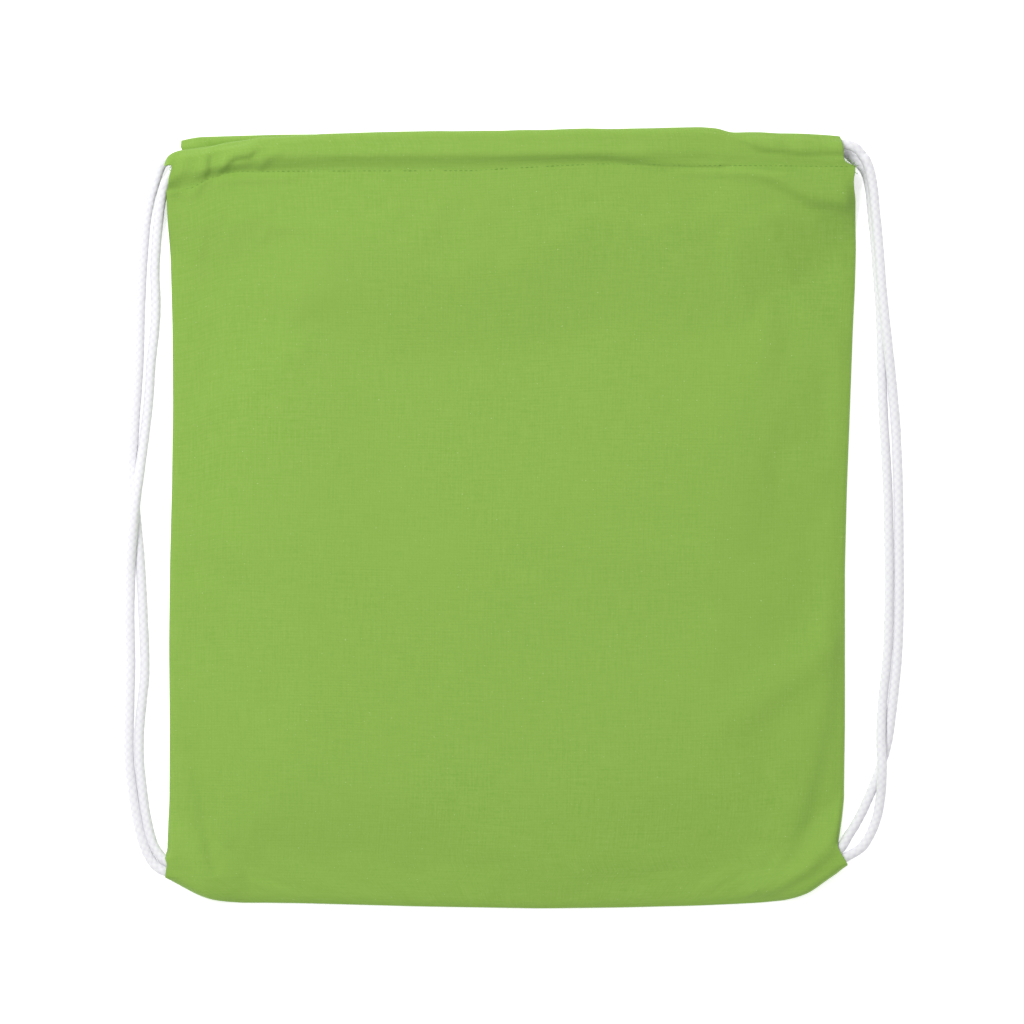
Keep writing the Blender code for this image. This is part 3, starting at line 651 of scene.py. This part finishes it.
def cloth_panel(name, place, outward_up):
    """A panel of cloth as one sheet on a grid, with a UV map in millimetres of flat cloth."""
    casing = casing_rows()
    row_count = len(BODY_ROWS) + len(casing)
    sheet = bmesh.new()
    bmesh.ops.create_grid(sheet, x_segments=len(COLUMNS) - 1, y_segments=row_count - 1, size=1.0)
    uv = sheet.loops.layers.uv.new("weave")
    grid = {}
    for point in sheet.verts:
        column = round((point.co.x + 1) / 2 * (len(COLUMNS) - 1))
        row = round((point.co.y + 1) / 2 * (row_count - 1))
        body = row < len(BODY_ROWS)
        height = BODY_ROWS[row] if body else None
        section = None if body else casing[row - len(BODY_ROWS)]
        if body:
            flat_v = height
        elif section[2]:
            flat_v = panel_height + hem_depth + fold_length + section[0]
        else:
            flat_v = panel_height + hem_depth - section[0] + section[1] * fold_length
        grid[point] = (COLUMNS[column] * full_width * 1000, flat_v * 1000)
        point.co = place(COLUMNS[column], height, section)
    for face in sheet.faces:
        for corner in face.loops:
            corner[uv].uv = grid[corner.vert]
    if not outward_up:
        bmesh.ops.reverse_faces(sheet, faces=sheet.faces)
    return new_piece(name, sheet)


def front_place(share, height, section):
    """Where a place on the front panel's sheet lies: on the body, or in the folded hem."""
    if section is None:
        x, y, from_left, from_right = body_row(share, height, front_hem)
        return Vector((x, y, front_body(x, y, height, from_left, from_right)))
    depth, drop, turned_in = section
    ends = []
    for side, table in ((-1, FRONT_LEFT_END), (1, FRONT_RIGHT_END)):
        end = side * casing_end
        tall = (at(FRONT_EDGE, end) - at(STITCH_LINE, end)) / stitch_depth
        ends.append(side * (half_width - at(table, depth * tall)))
    if turned_in:
        ends = [turned_in_left, turned_in_right]
    x = mix(ends[0], ends[1], share)
    tall = (front_edge(x) - at(STITCH_LINE, x)) / stitch_depth
    y = front_edge(x) - depth * mix(1.0, tall, ease((depth - 0.003) / 0.004))
    z = front_tunnel_top(x) - drop * tunnel
    if not turned_in and drop == 0.0:
        z += casing_gathers(x, y, depth) - fallen(x, y)
    return Vector((x, y, z))


front = cloth_panel("front_cloth", front_place, outward_up=True)


def relax(piece, pinned_above, most):
    """Lets the sheet settle as cloth, 0.15% looser than it lies, each point by no more than a set way."""
    start = np.array([point.co for point in piece.data.vertices])
    pins = piece.vertex_groups.new(name="sewn")
    for point, (x, y, z) in zip(piece.data.vertices, start):
        left = -half_width + at(LEFT_EDGE, y + half_length - 0.003)
        right = half_width - at(RIGHT_EDGE, y + half_length - 0.003)
        inward = min(x - left, right - x, y - at(BOTTOM_EDGE, x))
        held = max(1 - ease((inward - 0.001) / 0.008), ease((y - pinned_above) / 0.010))
        pins.add([point.index], held, "REPLACE")
    settle = piece.modifiers.new("settle", "CLOTH")
    settle.settings.vertex_group_mass = "sewn"
    settle.settings.quality = 6
    settle.settings.mass = 0.15
    settle.settings.tension_stiffness = 20
    settle.settings.compression_stiffness = 20
    settle.settings.shear_stiffness = 8
    settle.settings.bending_stiffness = 0.4
    settle.settings.shrink_min = -0.0015
    settle.settings.use_pressure = True
    settle.settings.uniform_pressure_force = 0.12
    settle.settings.effector_weights.gravity = 0
    settle.collision_settings.use_collision = False
    scene = bpy.context.scene
    for step in range(1, 21):
        scene.frame_set(step)
    settled = piece.evaluated_get(bpy.context.evaluated_depsgraph_get())
    end = np.array([point.co for point in settled.data.vertices])
    piece.modifiers.remove(settle)
    scene.frame_set(1)
    piece.vertex_groups.remove(pins)
    moved = end - start
    way = np.linalg.norm(moved, axis=1)[:, None]
    moved *= np.minimum(1.0, most / np.maximum(way, 1e-9))
    print(piece.name, "settled by up to", round(1000 * float(way.max()), 2), "mm")
    piece.data.vertices.foreach_set("co", (start + moved).astype(np.float32).ravel())
    piece.data.update()


relax(front, pinned_above=0.170, most=0.002)


def thicken(piece, wall):
    """Rounds the sheet between its points and gives it its thickness, outwards."""
    rounded = piece.modifiers.new("rounded", "SUBSURF")
    rounded.levels = 1
    rounded.render_levels = 1
    thick = piece.modifiers.new("thickness", "SOLIDIFY")
    thick.thickness = wall
    thick.offset = 1.0


thicken(front, cloth)

# Dyed plain-weave cotton, calendered flat and matt. The yarns are 0.45 mm apart and too fine to show, so
# the weave is drawn at 1.5 mm, with painted shade in its low places between the yarns. Uneven yarns give
# faint streaks both ways, and unspun specks show lighter.
weave_pitch = 1.5
green_cotton, finish = new_material("plain_weave_green_cotton")
place = add_node(green_cotton, "UVMap", {}, uv_map="weave")
across = add_node(green_cotton, "SeparateXYZ", {0: place}, output="X")
along = add_node(green_cotton, "SeparateXYZ", {0: place}, output="Y")


def math_node(kind, first, second=0.0):
    return add_node(green_cotton, "Math", {0: first, 1: second}, operation=kind)


wave_across = math_node("SINE", math_node("MULTIPLY", across, math.pi / weave_pitch))
wave_along = math_node("SINE", math_node("MULTIPLY", along, math.pi / weave_pitch))
warp = math_node("ABSOLUTE", wave_across)
weft = math_node("ABSOLUTE", wave_along)
warp_on_top = math_node("GREATER_THAN", math_node("MULTIPLY", wave_across, wave_along), 0.0)
weave = add_node(green_cotton, "Mix", {"Factor": warp_on_top, "A": weft, "B": warp})


def streaks(across_mm, along_mm, seed):
    scale = (1 / across_mm, 1 / along_mm, 1)
    values = {"Vector": place, "Location": (seed, seed, 0), "Scale": scale}
    stretched = add_node(green_cotton, "Mapping", values)
    return add_node(green_cotton, "TexNoise", {"Vector": stretched, "Scale": 1.0, "Detail": 2.0})


def mixed(share, first, second):
    return add_node(green_cotton, "MixRGB", {"Fac": share, 1: first, 2: second})


warp_streaks = streaks(0.9, 16.0, 3.0)
weft_streaks = streaks(15.0, 1.0, 11.0)
patches = streaks(70.0, 80.0, 23.0)
specks = math_node("GREATER_THAN", streaks(1.5, 1.3, 41.0), 0.735)
mottle = streaks(1.4, 2.0, 57.0)
streak_share = 0.36
warp_part = math_node("MULTIPLY", warp_streaks, streak_share)
weft_part = math_node("MULTIPLY", weft_streaks, streak_share)
crossed = math_node("ADD", warp_part, weft_part)
yarn = math_node("ADD", crossed, math_node("MULTIPLY", mottle, 0.28))
yarn_spread = add_node(green_cotton, "MapRange", {"Value": yarn, "From Min": 0.36, "From Max": 0.64})
yarn_tint = mixed(yarn_spread, from_hex("#7CA541"), from_hex("#8FB353"))
worn_tint = mixed(patches, yarn_tint, from_hex("#88AD4C"))
# Painted shade: the low places of the weave, between the yarns, are darkened towards #76993B.
painted_weave_shade = math_node("MULTIPLY", math_node("SUBTRACT", 1.0, weave), 0.11)
tint_with_painted_weave_shade = mixed(painted_weave_shade, worn_tint, from_hex("#76993B"))
speck_tint = mixed(math_node("MULTIPLY", specks, 0.45), tint_with_painted_weave_shade, from_hex("#C4DA9A"))
relief = math_node("ADD", math_node("MULTIPLY", weave, 0.4), math_node("MULTIPLY", yarn, 1.6))
weave_bump = add_node(green_cotton, "Bump", {"Height": relief, "Strength": 0.25, "Distance": 0.0004})
green_cotton.node_tree.links.new(speck_tint, finish.inputs["Base Color"])
green_cotton.node_tree.links.new(weave_bump, finish.inputs["Normal"])
finish.inputs["Roughness"].default_value = 0.9
finish.inputs["Specular IOR Level"].default_value = 0.2
finish.inputs["Sheen Weight"].default_value = 0.08
finish.inputs["Sheen Roughness"].default_value = 0.5

front.data.materials.append(green_cotton)
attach(front, "bag")
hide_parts("front_panel")


# Back panel: the same cotton, flat on its back under the front one. Its hem turns in towards the front.
BACK_LEFT_END = ((0.0, 0.0082), (0.006, 0.0080), (0.012, 0.0070), (0.021, 0.0010))
BACK_RIGHT_END = ((0.0, 0.0090), (0.005, 0.0076), (0.014, 0.0074), (0.021, 0.0020))
back_fold_strip = 0.0062  # depth to which the turned-in layer still covers the casing's end


def back_place(share, height, section):
    """Where a place on the back panel's sheet lies."""
    if section is None:
        x, y, from_left, from_right = body_row(share, height, back_hem)
        x += 0.0004 * (ease(from_right / 0.01) - ease(from_left / 0.01))
        return Vector((x, max(y, at(BOTTOM_EDGE, x) + 0.0004), cloth))
    depth, drop, turned_in = section
    left = -half_width + at(BACK_LEFT_END, depth)
    right = half_width - at(BACK_RIGHT_END, depth)
    if turned_in and depth > back_fold_strip:
        left, right = turned_in_left, turned_in_right
    x = mix(left, right, share)
    z = cloth + drop * tunnel
    # The left end of the fold stands up a little.
    if drop > 0.4:
        z += 0.0012 * math.exp(-((x + half_width - 0.008) / 0.012) ** 2)
    # The turned-in layer rises over the right cord's turn, and its free edge lies down on the panel.
    if turned_in:
        z += 0.0026 * math.exp(-(((x + 0.1775) / 0.006) ** 2)) * ease((depth - 0.002) / 0.004)
        z -= (tunnel - cloth) * ease((depth - 0.0150) / 0.0050)
    return Vector((x, at(BACK_EDGE, x) - depth, z))


back = cloth_panel("back_cloth", back_place, outward_up=False)
thicken(back, cloth)
back.data.materials.append(green_cotton)
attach(back, "bag")
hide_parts("back_panel")


# Hem stitching: a lockstitch of green polyester thread, about nine stitches to 25 mm, that holds the
# turned-in layer of each hem. Each stitch is a short loop of thread that sinks in at both ends.
stitch_pitch = 0.0028
stitch_length = 0.0019
thread = 0.00042
green_thread, finish = new_material("spun_green_polyester_thread")
spot = add_node(green_thread, "TexCoord", {}, output="Object")
twisted = add_node(green_thread, "TexNoise", {"Vector": spot, "Scale": 2500.0, "Detail": 1.0})
thread_tint = add_node(
    green_thread, "MixRGB", {"Fac": twisted, 1: from_hex("#5C852B"), 2: from_hex("#79A23F")}
)
thread_bump = add_node(green_thread, "Bump", {"Height": twisted, "Strength": 0.3, "Distance": 0.0001})
green_thread.node_tree.links.new(thread_tint, finish.inputs["Base Color"])
green_thread.node_tree.links.new(thread_bump, finish.inputs["Normal"])
finish.inputs["Roughness"].default_value = 0.6


def thread_object(name, row):
    """Makes the finished shape into a piece of green thread that stays on the bag."""
    piece = new_piece(name, row)
    piece.data.materials.append(green_thread)
    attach(piece, "bag")
    return piece


def stitched(name, start, end, line, height):
    """A row of stitches from one end to the other, each a small sunken bead of thread."""
    row = bmesh.new()
    count = round((end - start) / stitch_pitch)
    for step in range(count):
        x = start + (step + 0.5) * stitch_pitch
        following = x + stitch_pitch
        ahead = Vector((stitch_pitch, line(following) - line(x), height(following) - height(x)))
        turn = ahead.to_track_quat("X", "Z").to_matrix().to_4x4()
        made = bmesh.ops.create_uvsphere(row, u_segments=8, v_segments=5, radius=0.5)["verts"]
        bmesh.ops.scale(row, vec=(stitch_length, thread, thread), verts=made)
        bmesh.ops.transform(row, matrix=turn, verts=made)
        bmesh.ops.translate(row, vec=(x, line(x), height(x)), verts=made)
    return thread_object(name, row)


def front_stitch_line(x):
    return at(STITCH_LINE, x)


def front_stitch_height(x):
    y = at(STITCH_LINE, x)
    return front_tunnel_top(x) - fallen(x, y) + cloth + casing_gathers(x, y, stitch_depth) - 0.00005


def back_stitch_line(x):
    return at(BACK_EDGE, x) - 0.0195


def back_stitch_height(x):
    return 2 * cloth + 0.0008


front_stitches = stitched("front_hem_stitches", -0.183, 0.186, front_stitch_line, front_stitch_height)
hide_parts("front_hem_stitching")
back_stitches = stitched("back_hem_stitches", -0.168, 0.172, back_stitch_line, back_stitch_height)
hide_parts("back_hem_stitching")


def thread_line(row, points, width):
    """Adds a thread to the mesh, five-sided, along the points."""
    made = bmesh.ops.create_grid(row, x_segments=5, y_segments=len(points) - 1, size=1.0)["verts"]
    for vertex in made:
        turn = (vertex.co.x + 1) * math.pi
        place = round((vertex.co.y + 1) / 2 * (len(points) - 1))
        ahead = points[min(place + 1, len(points) - 1)] - points[max(place - 1, 0)]
        beside = ahead.cross(Vector((0.13, 0.07, 1.0))).normalized()
        above = beside.cross(ahead).normalized()
        vertex.co = points[place] + (beside * math.cos(turn) + above * math.sin(turn)) * width / 2
    bmesh.ops.remove_doubles(row, verts=made, dist=1e-7)
    open_edges = [edge for edge in row.edges if edge.is_boundary]
    bmesh.ops.holes_fill(row, edges=open_edges, sides=0)


def thread_piece(name, lines, width):
    """A piece of one or more threads, each along its own points."""
    row = bmesh.new()
    for points in lines:
        thread_line(row, points, width)
    bmesh.ops.recalc_face_normals(row, faces=row.faces)
    return thread_object(name, row)


# Corner stitches: a zigzag bar of the same thread in each bottom corner, inside the bag, that goes over and
# under the two cord ends and holds them down on the back panel.
tack_in = 0.0195  # from the corner's opening
tack_pitch = 0.0008
tack_width = 0.0080
tack_thread = 0.0006
tack_turns = 16
for side_name, (middle, way, *_) in zip(("left", "right"), CORNERS):
    inward = way.to_3d().normalized()
    across = inward.cross(Vector((0.0, 0.0, 1.0)))
    bar = []
    for step in range(tack_turns + 1):
        aside = across * tack_width * (step / tack_turns - 0.5)
        point = middle + inward * (tack_in + tack_pitch * (step % 2)) + aside
        point.z = rim + 0.0003 if step % 2 else rim + cord + 0.0006
        bar.append(point)
    stitches = thread_piece(side_name + "_corner_bar_tack", [bar], tack_thread)
    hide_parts(side_name + "_corner_stitches")


# Loose threads: the cut ends of the casing fray where the hem's corners stick out beside the cords. A few
# warp threads of the cotton, spun thin, stand out of the cloth and curl.

# Where each thread leaves the cloth, how far it reaches across and up, and how much it curls.
FRAYS = (
    (0.1848, 0.1962, 0.0012, 0.0022, 0.4), (0.1858, 0.1957, 0.0020, 0.0017, -0.5),
    (0.1868, 0.1952, 0.0006, 0.0024, 0.6), (0.1878, 0.1948, 0.0022, 0.0012, 0.3),
    (0.1886, 0.1946, 0.0014, 0.0021, -0.6), (0.1894, 0.1941, 0.0024, 0.0008, 0.5),
    (0.1899, 0.1910, 0.0016, -0.0010, 0.5), (-0.1869, 0.1942, -0.0016, -0.0009, 0.4),
    (-0.1872, 0.1918, -0.0014, 0.0006, -0.5), (-0.1884, 0.1876, -0.0015, -0.0004, 0.5),
)
fray_thread = 0.00034
curl_share = 0.21  # of a thread's reach, by which its middle stands aside
frays = []
for x, y, out, up, curl in FRAYS:
    height = front_stitch_height(x) + 0.0004
    strand = []
    for step in range(7):
        share = step / 6
        aside = curl_share * curl * math.sin(share * math.pi)
        reached = Vector((x + out * share + up * aside, y + up * share - out * aside, height))
        reached.z -= 0.0009 * share
        strand.append(reached)
    frays.append(strand)
thread_piece("frayed_hem_threads", frays, fray_thread)


# Seam allowances inside the bag: overlocked in the same green thread along both sides and the bottom.
for node in ("left_seam_overlock", "right_seam_overlock", "bottom_seam_overlock"):
    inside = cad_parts[node]
    inside.data.materials.clear()
    inside.data.materials.append(green_thread)


# Floor and light: a bright white sweep, and soft studio light that is stronger from the upper left.
floor_mesh = bpy.data.meshes.new("floor")
ground = bmesh.new()
bmesh.ops.create_grid(ground, x_segments=1, y_segments=1, size=4.0)
ground.to_mesh(floor_mesh)
ground.free()
floor = bpy.data.objects.new("floor", floor_mesh)
floor.location.z = -0.0004
bpy.context.scene.collection.objects.link(floor)
white_paper, finish = new_material("white_paper_sweep")
finish.inputs["Base Color"].default_value = from_hex("#F8F8F8")
finish.inputs["Emission Color"].default_value = (1.0, 1.0, 1.0, 1.0)
finish.inputs["Emission Strength"].default_value = 0.5
finish.inputs["Roughness"].default_value = 0.9
finish.inputs["Specular IOR Level"].default_value = 0.0
floor.data.materials.append(white_paper)

world = bpy.data.worlds.new("studio")
bpy.context.scene.world = world
world.use_nodes = True
world.node_tree.nodes["Background"].inputs["Color"].default_value = (1.0, 1.0, 1.0, 1.0)
world.node_tree.nodes["Background"].inputs["Strength"].default_value = 0.62
softbox = bpy.data.objects.new("softbox", bpy.data.lights.new("softbox", "AREA"))
softbox.data.shape = "DISK"
softbox.data.size = 1.0
softbox.data.energy = 31
softbox.location = (-0.80, 0.90, 1.90)
softbox.rotation_euler = (Vector((0, 0, 0)) - softbox.location).to_track_quat("-Z", "Y").to_euler()
bpy.context.scene.collection.objects.link(softbox)
bpy.context.scene.view_settings.view_transform = "Standard"
